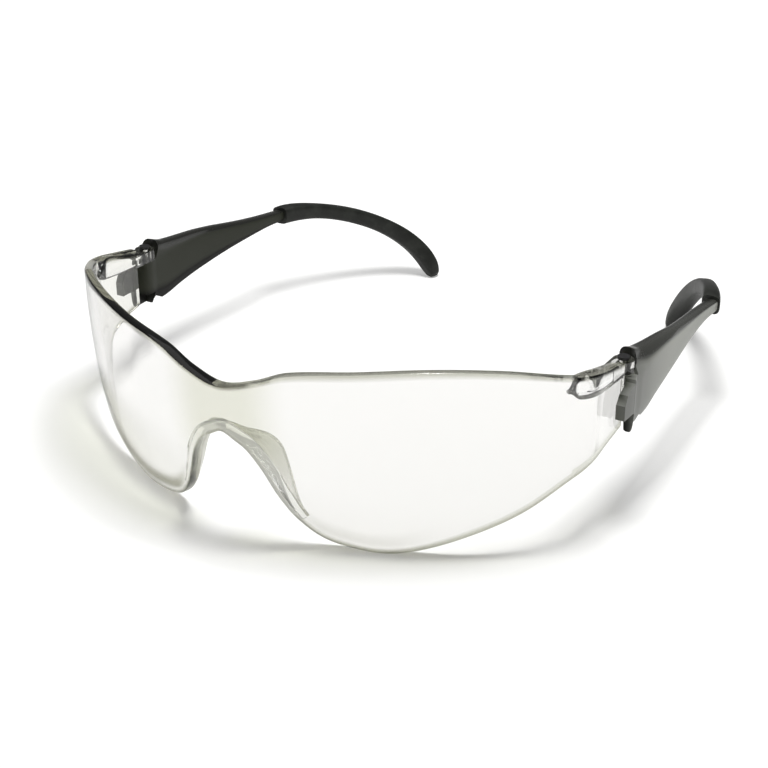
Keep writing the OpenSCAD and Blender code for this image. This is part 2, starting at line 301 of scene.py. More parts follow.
@dataclass(frozen=True)
class GlossPlastic(Finish):
    """Moulded nylon temple: black edges, a matt inner panel, painted sheen outside, painted shade
    below.
    """

    name: str = "gloss_plastic"
    edge: Colour = (0.018, 0.0185, 0.016, 1.0)
    inner: Colour = (0.020, 0.0222, 0.0135, 1.0)
    # outer: painted sheen, the pale colour that the outer face is painted for the reflection it shows
    outer: Colour = (0.43, 0.44, 0.40, 1.0)
    worn: Colour = (0.075, 0.078, 0.07, 1.0)
    # Painted shade along the lower inner edge: near-black, mottled, with little gloss
    painted_shade_black: Colour = (0.006, 0.006, 0.005, 1.0)
    painted_shade_grey: Colour = (0.01, 0.01, 0.009, 1.0)
    refraction: float = 1.38

    def surface(self, graph: Graph) -> Wire:
        """Dark plastic with a matt inner panel, painted sheen outside and painted shade below.

        Args:
            graph: The material's empty graph.

        Returns:
            The shader.
        """
        inner, outer = graph.attribute("inner"), graph.attribute("outer")
        spark = graph.noise(0.28, 3.0, 0.6)
        cloud = graph.noise(9.0, 3.0)
        scuff = graph.noise(1.6, 5.0, 0.75).step(0.62, 0.8)
        colour = graph.blend(inner, self.edge, self.inner)
        colour = graph.blend(outer, colour, self.outer)
        # Painted shade: a near-black, low-gloss shader for the lower inner edge
        painted_shade_black = graph.principled(
            {
                "Base Color": graph.blend(cloud, self.painted_shade_black, self.painted_shade_grey),
                "Roughness": 0.5 + 0.2 * cloud,
                "Specular IOR Level": 0.12,
            }
        )
        gloss = graph.principled(
            {
                "Base Color": graph.blend(0.25 * scuff, colour, self.worn),
                "Roughness": 0.22 + 0.26 * inner + 0.12 * outer + 0.08 * cloud + 0.08 * scuff,
                "IOR": self.refraction,
                "Normal": graph.bump(spark * inner + 0.15 * cloud, 0.35, 0.06),
            }
        )
        # The under share mixes the painted shade in along the lower inner edge.
        return graph.mix_shaders(graph.attribute("under"), gloss, painted_shade_black)


@dataclass(frozen=True)
class SoftRubber(Finish):
    """Over-moulded thermoplastic rubber sleeve."""

    name: str = "soft_rubber"
    dark: Colour = (0.008, 0.009, 0.007, 1.0)
    bloom: Colour = (0.022, 0.024, 0.020, 1.0)
    refraction: float = 1.4

    def surface(self, graph: Graph) -> Wire:
        """Near-black rubber with a soft bloom and a fine eggshell grain.

        Args:
            graph: The material's empty graph.

        Returns:
            The shader.
        """
        grain = graph.noise(0.22, 3.0, 0.6)
        bloom = graph.noise(5.0, 4.0, 0.6)
        return graph.principled(
            {
                "Base Color": graph.blend(bloom.step(0.35, 0.75), self.dark, self.bloom),
                "Roughness": 0.36 + 0.22 * bloom,
                "IOR": self.refraction,
                "Normal": graph.bump(grain, 0.3, 0.04),
            }
        )


@dataclass(frozen=True)
class PaintedMetal(Finish):
    """Blackened steel hinge pin with turning marks on its head."""

    name: str = "painted_metal"
    black: Colour = (0.02, 0.02, 0.021, 1.0)
    steel: Colour = (0.16, 0.16, 0.165, 1.0)

    def surface(self, graph: Graph) -> Wire:
        """Dark satin paint, worn through in specks.

        Args:
            graph: The material's empty graph.

        Returns:
            The shader.
        """
        specks = graph.noise(0.5, 4.0, 0.7).step(0.6, 0.72)
        settings = {"wave_type": "RINGS", "rings_direction": "Z"}
        values = {"Vector": graph.place(), "Scale": 900.0, "Distortion": 1.5}
        rings = graph.node("ShaderNodeTexWave", settings, values, "Fac")
        return graph.principled(
            {
                "Base Color": graph.blend(specks, self.black, self.steel),
                "Metallic": 0.3 + 0.6 * specks,
                "Roughness": 0.34 + 0.12 * rings,
                "Normal": graph.bump(rings, 0.15, 0.02),
            }
        )


@dataclass(frozen=True)
class TableTop(Finish):
    """Seamless white table that keeps the object's shadow."""

    name: str = "table_top"
    colour: Colour = (0.82, 0.82, 0.81, 1.0)
    fleck: Colour = (0.76, 0.76, 0.75, 1.0)
    white: float = 0.78
    lamp_share: float = 0.70
    far_share: float = 0.25
    mirror_share: float = 0.35

    def surface(self, graph: Graph) -> Wire:
        """Matt white, lifted to paper white wherever it is seen.

        The lift grows where the key lamp's light falls off, and is less in mirrored views.

        Args:
            graph: The material's empty graph.

        Returns:
            The shader.
        """
        fibre = graph.noise(1.2, 4.0, 0.6)
        values = {"Color": graph.blend(0.04 * fibre, self.colour, self.fleck), "Roughness": 0.5}
        paper = graph.node("ShaderNodeBsdfDiffuse", inputs=values)
        values = {0: graph.place(), 1: (*KEY_FOOT, 0.0)}
        away = graph.node("ShaderNodeVectorMath", {"operation": "DISTANCE"}, values, "Value")
        spread = 1 + away * away / KEY_HEIGHT**2
        lift = self.white + self.far_share * away.step(0.5, 1.3)
        lift = lift - self.lamp_share / (spread * spread)
        shown = graph.ray("Camera").largest(self.mirror_share * graph.ray("Glossy"))
        shown = shown.largest(graph.ray("Transmission"))
        glow = graph.node("ShaderNodeEmission", inputs={"Color": lift * shown, "Strength": 1.0})
        return graph.node("ShaderNodeAddShader", inputs={0: paper, 1: glow})


# Shape tools


@dataclass(frozen=True)
class Profile:
    """A smooth curve through knots, each a place and a value."""

    knots: tuple[tuple[float, float], ...]

    def _slope(self, index: int) -> float:
        """The curve's slope at one knot."""
        low, high = self.knots[max(index - 1, 0)], self.knots[min(index + 1, len(self.knots) - 1)]
        return (high[1] - low[1]) / (high[0] - low[0])

    def at(self, place: float) -> float:
        """The curve's value.

        Args:
            place: Where along the curve.

        Returns:
            The value there.
        """
        index = 0
        while index < len(self.knots) - 2 and place > self.knots[index + 1][0]:
            index += 1
        (a, u), (b, v) = self.knots[index], self.knots[index + 1]
        span = b - a
        t = (place - a) / span
        return (
            u * (2 * t**3 - 3 * t**2 + 1)
            + v * (3 * t**2 - 2 * t**3)
            + span * self._slope(index) * (t**3 - 2 * t**2 + t)
            + span * self._slope(index + 1) * (t**3 - t**2)
        )


class Cut(Enum):
    """How one solid is combined with another."""

    JOIN = "UNION"
    REMOVE = "DIFFERENCE"


def smooth_step(low: float, high: float, value: float) -> float:
    """A smooth step from 0 at low to 1 at high."""
    t = min(max((value - low) / (high - low), 0.0), 1.0)
    return t * t * (3 - 2 * t)


def fade(full: float, gone: float, value: float) -> float:
    """A smooth fade from 1 at full to 0 at gone."""
    return 1 - smooth_step(full, gone, value)


def around(count: int, power: float = 1.0, first: float = 0.0) -> Sequence[tuple[float, ...]]:
    """Points around a circle of radius 1.

    Args:
        count: How many points.
        power: What sine and cosine are raised to: below 1, the circle's sides are flatter.
        first: How many steps from the X axis the first point lies.

    Returns:
        The points.
    """
    points = []
    for k in range(count):
        a = 2 * math.pi * (k + first) / count
        points.append(tuple(math.copysign(abs(v) ** power, v) for v in (math.cos(a), math.sin(a))))
    return points


class Shaper:
    """Makes closed meshes from drawn millimetres and combines them."""

    sides: int = 64

    def __init__(self, shift: Vector, mirrored: bool = False) -> None:
        """Sets the move to the frame in millimetres, and whether X changes sign."""
        self.shift = shift
        self.mirrored = mirrored

    def to_frame(self, point: Sequence[float]) -> Vector:
        """A drawn point in the frame, in metres."""
        x, y, z = (point[i] + self.shift[i] for i in range(3))
        return Vector((-x if self.mirrored else x, y, z)) * MM

    def skin(self, name: str, rings: Sequence[Ring]) -> bpy.types.Object:
        """A closed solid swept through rings of equal length.

        Args:
            name: The object's name.
            rings: The rings, in order, in drawn millimetres.

        Returns:
            The solid, linked to the scene, with its faces turned outward.
        """
        count = len(rings[0])
        faces: list[list[int]] = [list(range(count))]
        for i in range(len(rings) - 1):
            for k in range(count):
                a, m = i * count, (k + 1) % count
                faces.append([a + k, a + m, a + count + m, a + count + k])
        faces.append([(len(rings) - 1) * count + k for k in range(count)])
        data = bpy.data.meshes.new(name)
        data.from_pydata([self.to_frame(p) for ring in rings for p in ring], [], faces)
        made = bmesh.new()
        made.from_mesh(data)
        bmesh.ops.recalc_face_normals(made, faces=made.faces)
        made.to_mesh(data)
        made.free()
        piece = bpy.data.objects.new(name, data)
        bpy.context.scene.collection.objects.link(piece)
        return piece

    def side_prism(
        self, name: str, outline: Sequence[tuple[float, float]], x_low: float, x_high: float
    ) -> bpy.types.Object:
        """A prism across the temple, from corners in Y and Z and its two ends in X."""
        rings = [[(x, y, z) for y, z in outline] for x in (x_low, x_high)]
        return self.skin(name, rings)

    def drum(
        self, name: str, centre: tuple[float, float], radius: float, low: float, high: float
    ) -> bpy.types.Object:
        """An upright cylinder.

        Args:
            name: The object's name.
            centre: Its X and Y.
            radius: Its radius.
            low: The height of its foot.
            high: The height of its top.

        Returns:
            The cylinder.
        """
        x, y = centre
        circle = [(x + radius * u, y + radius * v) for u, v in around(self.sides)]
        return self.skin(name, [[(*spot, z) for spot in circle] for z in (low, high)])

    @staticmethod
    def combine(body: bpy.types.Object, tool: bpy.types.Object, cut: Cut) -> None:
        """Combines a tool into a body and deletes the tool.

        Args:
            body: The solid that is changed.
            tool: The solid that changes it.
            cut: How they are combined.
        """
        modifier = body.modifiers.new("combine", "BOOLEAN")
        modifier.operation = cut.value
        modifier.solver = "EXACT"
        modifier.object = tool
        graph = bpy.context.evaluated_depsgraph_get()
        done = bpy.data.meshes.new_from_object(body.evaluated_get(graph))
        body.modifiers.remove(modifier)
        old = body.data
        body.data = done
        bpy.data.meshes.remove(old)
        bpy.data.objects.remove(tool)

    @staticmethod
    def soften(piece: bpy.types.Object, width_mm: float, angle: float = 35.0) -> None:
        """Rounds a piece's sharp edges and shades the rest smooth.

        Args:
            piece: The piece.
            width_mm: The width of the rounding, or 0 for none.
            angle: The sharpest turn, in degrees, that counts as smooth.
        """
        data = piece.data
        data.polygons.foreach_set("use_smooth", [True] * len(data.polygons))
        if width_mm > 0:
            bevel = piece.modifiers.new("rounding", "BEVEL")
            bevel.width = width_mm * MM
            bevel.segments = 2
            bevel.limit_method = "ANGLE"
            bevel.angle_limit = math.radians(angle)
            bevel.harden_normals = True
        else:
            data.set_sharp_from_angle(angle=math.radians(angle))


def paint(piece: bpy.types.Object, name: str, value: Callable[[Vector], float]) -> None:
    """Stores a number on each point of a mesh, worked out from its place in the frame."""
    layer = piece.data.attributes.new(name, "FLOAT", "POINT")
    layer.data.foreach_set("value", [value(v.co) for v in piece.data.vertices])


def dress(piece: bpy.types.Object, finish: Finish) -> None:
    """Gives a piece one finish all over."""
    piece.data.materials.clear()
    piece.data.materials.append(finish.material())


# Lens


@dataclass
class LensShape:
    """Plan, outline and lean of the lens wall."""

    front_w: float = 137.2
    lens_h: float = 47.2
    wall: float = 2.2
    bridge_more: float = 0.8
    wrap_a: float = math.radians(56)
    corner_r: float = 13.5
    wing_a: float = math.radians(88)
    brow_dip: float = 7.6
    lean: float = 0.22
    lean_z: float = 20.0
    dome_r: float = 105.0
    nose_w: float = 23.2
    bridge_h: float = 11.4
    hinge_back: float = 56.5
    wing_clear: float = 3.7
    tongue_z: float = 35.2
    tongue_h: float = 2.8
    wing_rise: float = 0.9
    wing_low: float = 23.3

    def __post_init__(self) -> None:
        """Works out the arcs of the plan and the two edges of the outline."""
        self.wing_x = self.front_w / 2
        corner = self.corner_r * (math.sin(self.wing_a) - math.sin(self.wrap_a))
        self.wrap_r = (self.wing_x - corner) / math.sin(self.wrap_a)
        self.s_wrap = self.wrap_r * self.wrap_a
        self.s_corner = self.s_wrap + self.corner_r * (self.wing_a - self.wrap_a)
        self.y_wrap = self.wrap_r * (1 - math.cos(self.wrap_a))
        turn = math.cos(self.wrap_a) - math.cos(self.wing_a)
        self.y_corner = self.y_wrap + self.corner_r * turn
        wing = self.hinge_back - self.wing_clear - self.y_corner
        self.s_end = self.s_corner + wing / math.sin(self.wing_a)
        self.tongue_top = self.tongue_z + self.tongue_h
        self.wing_top = self.tongue_top + self.wing_rise
        self.nose_s = self.nose_w / 2
        self.brow = self._brow()
        self.rim = self._rim()
        nose = self.nose_s
        self.extra = Profile(
            ((0, 1), (0.9 * nose, 1), (1.7 * nose, 0.4), (2.5 * nose, 0), (self.s_end, 0))
        )

    def _brow(self) -> Profile:
        """The upper edge, from the bridge dip to the wing.

        Returns:
            Its height along the plan.
        """
        high, dip, nose = self.lens_h, self.brow_dip, self.nose_s
        return Profile(
            (
                (-0.69 * nose, high - 0.74 * dip),
                (0.0, high - dip),
                (0.69 * nose, high - 0.74 * dip),
                (1.38 * nose, high - 0.33 * dip),
                (0.38 * self.s_wrap, high - 0.12 * dip),
                (0.59 * self.s_wrap, high),
                (0.79 * self.s_wrap, high - 1.3),
                (self.s_wrap, (high + self.wing_top) / 2 - 0.7),
                (self.s_end, self.wing_top),
            )
        )

    def _rim(self) -> Profile:
        """The lower edge: nose arch, lobe, and the sweep up to the wing.

        Returns:
            Its height along the plan.
        """
        nose, arch = self.nose_s, self.lens_h - self.brow_dip - self.bridge_h
        lobe = 0.41 * self.s_wrap
        sweep = self.s_end - lobe
        arch_knots = [(-0.26, 0.95), (0, 1), (0.26, 0.95), (0.52, 0.875), (0.78, 0.71)]
        arch_knots += [(1, 0.49), (1.26, 0.29), (1.65, 0.12)]
        wing_knots = [(-0.12, 0.05), (0, 0), (0.12, 0.05), (0.32, 0.24), (0.52, 0.47)]
        wing_knots += [(0.71, 0.76), (0.84, 0.9), (1, 1)]
        return Profile(
            tuple((a * nose, h * arch) for a, h in arch_knots)
            + tuple((lobe + a * sweep, h * self.wing_low) for a, h in wing_knots)
        )

    def heading(self, s: float) -> float:
        """Which way the plan runs.

        Args:
            s: The distance along the plan from the middle.

        Returns:
            The heading in radians, 0 in the middle.
        """
        if s < self.s_wrap:
            return s / self.wrap_r
        if s < self.s_corner:
            return self.wrap_a + (s - self.s_wrap) / self.corner_r
        return self.wing_a

    def plan(self, s: float) -> tuple[float, float]:
        """The line that the front of the wall follows, seen from above.

        Args:
            s: The distance along the plan from the middle.

        Returns:
            Its X and Y.
        """
        a = self.heading(s)
        if s < self.s_wrap:
            return self.wrap_r * math.sin(a), self.wrap_r * (1 - math.cos(a))
        if s < self.s_corner:
            x = self.wrap_r * math.sin(self.wrap_a)
            x += self.corner_r * (math.sin(a) - math.sin(self.wrap_a))
            return x, self.y_wrap + self.corner_r * (math.cos(self.wrap_a) - math.cos(a))
        run, x, y = s - self.s_corner, self.wing_x, self.y_corner
        return x + run * math.cos(self.wing_a), y + run * math.sin(self.wing_a)

    def front(self, s: float) -> float:
        """The depth of the front face at s: negative where the thick bridge stands forward."""
        return -self.bridge_more * self.extra.at(abs(s))

    def point(self, s: float, z: float, depth: float) -> Point:
        """A point of the wall.

        Args:
            s: The distance along the plan, negative on the wearer's right.
            z: The height.
            depth: The depth behind the front face.

        Returns:
            The point in the drawing.
        """
        side = -1 if s < 0 else 1
        x, y = self.plan(abs(s))
        a = self.heading(abs(s))
        return side * (x - depth * math.sin(a)), y + (depth + self.slope(z)) * math.cos(a), z

    def slope(self, z: float) -> float:
        """How far the leaning, domed wall lies behind its plan at a height."""
        up = z - self.lean_z
        return -self.lean * up + up * up / (2 * self.dome_r)


@dataclass
class Lens:
    """The one-piece lens with its nose flange, lugs and tongues."""

    shape: LensShape = field(default_factory=LensShape)
    finish: Finish = field(default_factory=ClearPolycarbonate)
    node: str = "lens_shield"
    stations: int = 181
    rows: int = 40
    pad_stations: int = 60
    edge_r: float = 0.5
    # brow_trim keeps the finer faces inside the CAD model's box
    brow_trim: float = 0.01
    pad_t: float = 1.8
    pad_gap: float = 0.2
    pad_depth: float = 4.6
    pad_splay: float = 0.3
    lug_start: float = 1.6
    lug_depth: float = 2.35
    lug_half: float = 1.85
    lug_round: float = 0.6
    knuckle_r: float = 2.5
    pin_inset: float = 1.6
    pin_r: float = 0.8
    pin_clear: float = 0.05

    def __post_init__(self) -> None:
        """Ties the drawing to the CAD lens's box and works out the flange's reach."""
        shape = self.shape
        self.pin_x, self.pin_y = shape.wing_x - self.pin_inset, shape.hinge_back
        low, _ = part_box(self.node)
        front = shape.point(0, shape.lens_h - shape.brow_dip, shape.front(0))[1]
        self.shift = Vector((0.0, low.y / MM - front, 0.0))
        self.shaper = Shaper(self.shift)
        knots = [(0, 0.2), (0.2, 0.5), (0.42, 0.95), (0.62, 1), (0.85, 0.66), (1.1, 0.24)]
        knots += [(1.3, 0.06)]
        self.pad_end = 1.3 * shape.nose_s
        self.pad_reach = Profile(tuple((a * shape.nose_s, d * self.pad_depth) for a, d in knots))

    def _section(self, s: float) -> Ring:
        """The wall's closed outline at one station, with rounded edges.

        Args:
            s: The distance along the plan, negative on the wearer's right.

        Returns:
            The outline.
        """
        low, high = self.shape.rim.at(abs(s)), self.shape.brow.at(abs(s)) - self.brow_trim
        r, t, f = self.edge_r, self.shape.wall, self.shape.front(s)
        levels = [low + r + (high - low - 2 * r) * j / self.rows for j in range(self.rows + 1)]
        turns = [math.pi / 2 * k / 4 for k in range(1, 4)]
        ring = [(z, f) for z in levels]
        ring += [(high - r + r * math.sin(a), f + r - r * math.cos(a)) for a in turns]
        ring += [(high, f + r), (high, (f + t) / 2), (high, t - r)]
        ring += [(high - r + r * math.cos(a), t - r + r * math.sin(a)) for a in turns]
        ring += [(z, t) for z in reversed(levels)]
        ring += [(low + r - r * math.sin(a), t - r + r * math.cos(a)) for a in turns]
        ring += [(low, t - r), (low, (f + t) / 2), (low, f + r)]
        ring += [(low + r - r * math.cos(a), f + r - r * math.sin(a)) for a in turns]
        return [self.shape.point(s, z, depth) for z, depth in ring]

    def _wall(self) -> bpy.types.Object:
        """Sweeps the wall with both lobes and both wings.

        Returns:
            The wall.
        """
        stops = []
        for i in range(-self.stations, self.stations + 1):
            t = abs(i) / self.stations
            stops.append(math.copysign(self.shape.s_end * (0.6 * t + 0.4 * t * t), i))
        return self.shaper.skin("lens", [self._section(s) for s in stops])

    def _pad_ring(self, s: float) -> Ring:
        """The nose flange's outline, square to the edge of the arch.

        Args:
            s: The distance along the plan, negative on the wearer's right.

        Returns:
            The outline.
        """
        shape, low, wall = self.shape, self.pad_gap, self.pad_t
        u, side = abs(s), (-1 if s < 0 else 1)
        slope = (shape.rim.at(u + 0.1) - shape.rim.at(u - 0.1)) / 0.2
        q = math.hypot(1, slope)
        out = self.pad_splay * side * min(u / (0.5 * shape.nose_s), 1)

        def spot(h: float, depth: float) -> Point:
            """Places one corner of the outline.

            Args:
                h: Its height over the arch's edge.
                depth: Its depth behind the front face.

            Returns:
                The point.
            """
            inner = min(depth, shape.wall)
            x, y, z = shape.point(s - side * slope / q * h, shape.rim.at(u) + h / q, inner)
            more = depth - inner
            return (x + more * out, y + more, z)

        reach = self.pad_reach.at(u)
        root, bend = shape.wall / 2, shape.wall + 0.35 * reach
        deep, lip = shape.wall + reach, 0.25 * min(reach, 1.2)
        ring = [spot(low + wall + 1.0, root), spot(low + wall + 1.0, shape.wall)]
        ring += [spot(low + wall + 0.45, shape.wall + 0.12 * reach)]
        ring += [spot(low + wall + 0.1, bend), spot(low + wall, deep - lip)]
        for k in range(1, 8):
            a = math.pi * k / 8
            ring.append(spot(low + wall / 2 + wall / 2 * math.cos(a), deep + 0.5 * math.sin(a)))
        return ring + [spot(low, depth) for depth in (deep - lip, bend, shape.wall, root)]

    def _flange(self) -> bpy.types.Object:
        """Sweeps the nose flange along the arch.

        Returns:
            The flange.
        """
        count = self.pad_stations
        rings = [self._pad_ring(self.pad_end * i / count) for i in range(-count, count + 1)]
        return self.shaper.skin("flange", rings)

    def _lug(self, shaper: Shaper) -> bpy.types.Object:
        """The thick lug behind one upper corner, running back to the hinge.

        Args:
            shaper: Makes it on the wearer's left or right.

        Returns:
            The lug.
        """
        shape = self.shape
        front, back = shape.y_wrap - 1, self.pin_y - 3
        top = Profile(
            (
                (front, shape.tongue_z + 4.6), (front + 1.6, shape.tongue_top + 3.3),
                (front + 5, shape.tongue_top + 3.5), (front + 11, shape.tongue_top + 2.2),
                (back, shape.tongue_top + 0.2),
            )
        )
        foot = Profile(
            (
                (front, shape.tongue_z + 2.6), (front + 2.5, shape.tongue_z + 1.2),
                (front + 8, shape.tongue_z + 0.3), (back, shape.tongue_z),
            )
        )
        start, rings, steps = shape.s_wrap - self.lug_start, [], 28
        for i in range(steps + 1):
            s = start + (shape.s_end - start) * i / steps
            y = min(max(shape.plan(s)[1], front), back)
            taper = 0.35 + 0.65 * smooth_step(0, 0.14, i / steps)
            high, low, ring = top.at(y), foot.at(y), []
            for across, up in around(24, self.lug_round, 0.5):
                depth = self.lug_depth + self.lug_half * taper * across
                z = (high + low) / 2 + (high - low) / 2 * taper * up
                ring.append(shape.point(s, z, depth))
            rings.append(ring)
        return shaper.skin("lug", rings)

    def _tongue(self, shaper: Shaper) -> list[bpy.types.Object]:
        """The flat tongue and its round end.

        Args:
            shaper: Makes it on the wearer's left or right.

        Returns:
            Both solids.
        """
        low, high, r = self.shape.tongue_z, self.shape.tongue_top, self.knuckle_r
        front, back = self.pin_y - self.shape.wing_clear - 3, self.pin_y
        drum = shaper.drum("tongue_end", (self.pin_x, back), r, low, high)
        side = [(front, low), (back, low), (back, high), (front, high)]
        outer = self.pin_x + self.pin_inset - 0.4
        return [drum, shaper.side_prism("tongue", side, self.pin_x - r, outer)]

    def build(self) -> None:
        """Makes the lens as one clear solid and dresses it."""
        lens = self._wall()
        Shaper.combine(lens, self._flange(), Cut.JOIN)
        for mirrored in (False, True):
            shaper = Shaper(self.shift, mirrored)
            for part in [self._lug(shaper), *self._tongue(shaper)]:
                Shaper.combine(lens, part, Cut.JOIN)
            low, high = self.shape.tongue_z - 1, self.shape.tongue_top + 1
            radius = self.pin_r + self.pin_clear
            bore = shaper.drum("bore", (self.pin_x, self.pin_y), radius, low, high)
            Shaper.combine(lens, bore, Cut.REMOVE)
        Shaper.soften(lens, 0.0, 40.0)
        # thick holds the bridge's tint and painted shade, edge painted shade, block what stops the
        # lamps, piped painted light.
        paint(lens, "thick", self._thickness_and_painted_shade)
        paint(lens, "edge", self._painted_edge_shade)
        paint(lens, "block", self._block)
        paint(lens, "painted_edge_light", self._painted_edge_light)
        dress(lens, self.finish)
        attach(lens, "front")
        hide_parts(self.node)
        LOG.info("lens: %d faces", len(lens.data.polygons))

    def _thickness_and_painted_shade(self, point: Vector) -> float:
        """How thick the wall looks at a point, from 0 on a lobe to 1 in the bridge, plus painted
        shade.
        """
        x, z = point.x / MM, point.z / MM
        # The second term is painted shade, greying the outer part of the wearer's right lobe.
        return max(0.9 * fade(5, 17, abs(x)) * smooth_step(14, 26, z), 0.35 * smooth_step(42, 64, -x))

    def _upright(self, point: Vector) -> tuple[float, float, float]:
        """Where a point of the wall would lie in the drawing if the wall stood upright.

        Args:
            point: The point, in frame metres.

        Returns:
            Its X, always positive, its Y and its Z.
        """
        lean = self.shape.slope(point.z / MM)
        x, y = abs(point.x) / MM, point.y / MM - self.shift.y
        for _ in range(3):
            turn = min(math.atan2(x, self.shape.wrap_r - y), self.shape.wing_a)
            y = point.y / MM - self.shift.y - lean * math.cos(turn)
        return x, y, point.z / MM

    def _behind(self, point: Vector) -> float:
        """How far a point near the nose lies behind the front of the wall, in millimetres."""
        x, y, _ = self._upright(point)
        return self.shape.wrap_r - math.hypot(x, self.shape.wrap_r - y)

    def _inset(self, point: Vector) -> tuple[float, float]:
        """How far a point lies inside the lens's outline.

        Args:
            point: The point, in frame metres.

        Returns:
            Its millimetres above the rim and below the brow.
        """
        x, y, z = self._upright(point)
        shape = self.shape
        angle = math.atan2(x, shape.wrap_r - y)
        s = min(shape.wrap_r * angle, shape.s_end)
        if angle > shape.wrap_a:
            s = min(shape.s_corner + y - shape.y_corner, shape.s_end)
        return z - shape.rim.at(s), shape.brow.at(s) - z

    def _edge(self, point: Vector) -> float:
        """How near a point is to the edge of the wall: 1 on it, 0 a few millimetres inside."""
        return fade(0.35, 1.1, min(self._inset(point)))

    def _painted_edge_shade(self, point: Vector) -> float:
        """Painted shade on the wall: dark at its edges, and a band along the lower rim.

        Args:
            point: The point, in frame metres.

        Returns:
            The share, from 0 to 1.
        """
        rise, x = self._inset(point)[0], point.x / MM
        # A band of painted shade a few millimetres above the lower rim, strongest on the wearer's
        # right lobe.
        painted_rim_shade = smooth_step(1.2, 2.8, rise) * fade(3.6, 6.8, rise)
        painted_rim_shade *= (0.9 - 0.7 * smooth_step(-16, 8, x)) * fade(58, 68, -x) * fade(30, 46, x)
        return max(self._edge(point), painted_rim_shade * smooth_step(12, 20, abs(x)))

    def _block(self, point: Vector) -> float:
        """How much of the lamps a point stops: all at the edges, most near the table."""
        return max(self._edge(point), 0.95 * fade(1.5, 14.0, point.z / MM))

    def _painted_edge_light(self, point: Vector) -> float:
        """Painted light: how much light a point is painted to hand on from inside the wall.

        It is most on the left half, around the nose arch and along the flange.

        Args:
            point: The point, in frame metres.

        Returns:
            The share, from 0 to 1.
        """
        x = point.x / MM
        low = fade(1.0, 3.0, self._inset(point)[0])
        arch = low * fade(17, 24, abs(x))
        side = 0.1 + 0.38 * max(smooth_step(-4, 8, x), arch) + 0.3 * low * smooth_step(34, 48, x)
        flange = smooth_step(2.6, 3.4, self._behind(point)) * fade(20, 24, abs(x))
        return max(side * self._edge(point), 0.52 * flange)


# Temples


